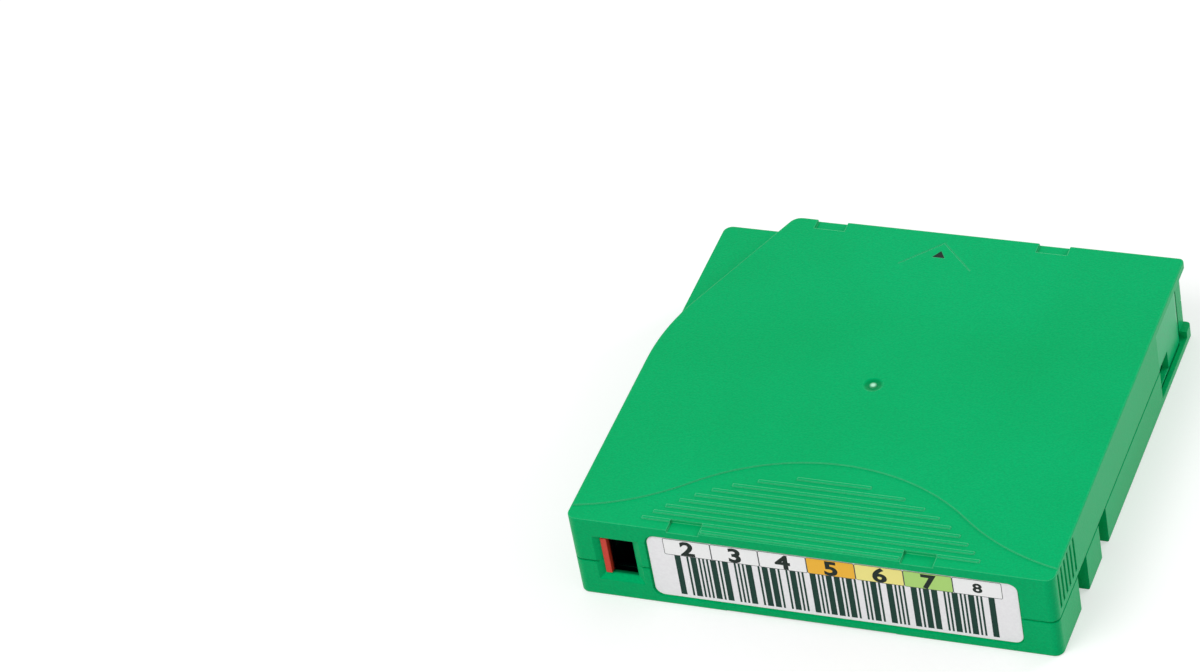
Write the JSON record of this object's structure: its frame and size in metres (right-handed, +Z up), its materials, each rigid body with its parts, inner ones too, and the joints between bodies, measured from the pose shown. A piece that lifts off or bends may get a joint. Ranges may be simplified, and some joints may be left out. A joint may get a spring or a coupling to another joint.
{
  "type": "data tape cartridge",
  "caption": "Flat square data tape cartridge with a single reel, a sliding door and a write-protect tab, for a tape library or drive.",
  "frame": {"origin": "middle of the underside", "axes": "+Z up from the underside, -Y towards the label face, +Y the end that goes into the drive, +X the side with the door"},
  "size_m": [0.1054, 0.102, 0.0215],
  "materials": {
    "green_case": "fine matte grain",
    "green_door": "fine matte grain",
    "red_tab": "satin",
    "label_paper": "printed",
    "reel_plastic": "satin",
    "plate_steel": "plated",
    "tape_film": "smooth edge",
    "brake_plastic": "satin",
    "pad_plastic": "satin",
    "spring_steel": "drawn wire",
    "pin_steel": "ground",
    "chip_board": "lacquered",
    "screw_steel": "zinc plated"
  },
  "bodies": {
    "case": {"lower_shell": "green_case", "upper_shell": "green_case", "barcode_label": "label_paper", "brake_spring": "spring_steel", "door_spring": "spring_steel", "leader_pin": "pin_steel", "leader_pin_clip": "brake_plastic", "tape_leader": "tape_film", "pin_spring_lower": "spring_steel", "pin_spring_upper": "spring_steel", "memory_chip": "chip_board", "case_screw_1": "screw_steel", "case_screw_2": "screw_steel", "case_screw_3": "screw_steel", "case_screw_4": "screw_steel"},
    "door": {"door": "green_door"},
    "write_protect_tab": {"write_protect_tab": "red_tab"},
    "reel": {"reel_hub": "reel_plastic", "upper_flange": "reel_plastic", "reel_plate": "plate_steel", "tape_pack": "tape_film", "tape_clamp": "reel_plastic"},
    "brake": {"brake_button": "brake_plastic"},
    "release_pad": {"release_pad": "pad_plastic"}
  },
  "joints": [
    {"name": "door_slide", "type": "slide", "parent": "case", "child": "door", "axis": [0, -1, 0], "range_m": [0, 0.022], "stiffness_N_per_m": 25, "springref_m": -0.012, "deforming": ["door_spring"]},
    {"name": "write_protect_slide", "type": "slide", "parent": "case", "child": "write_protect_tab", "axis": [1, 0, 0], "range_m": [0, 0.004]},
    {"name": "reel_spin", "type": "hinge", "parent": "case", "child": "reel", "pos_m": [-0.0014, 0, 0.01], "axis": [0, 0, 1], "continuous": true},
    {"name": "brake_lift", "type": "slide", "parent": "case", "child": "brake", "axis": [0, 0, 1], "range_m": [0, 0.002], "stiffness_N_per_m": 600, "springref_m": -0.003, "deforming": ["brake_spring"]},
    {"name": "release_lift", "type": "slide", "parent": "reel", "child": "release_pad", "axis": [0, 0, 1], "range_m": [0, 0.002]}
  ],
  "couplings": [
    {"joint": "release_lift", "follows": "brake_lift", "ratio": 1}
  ]
}
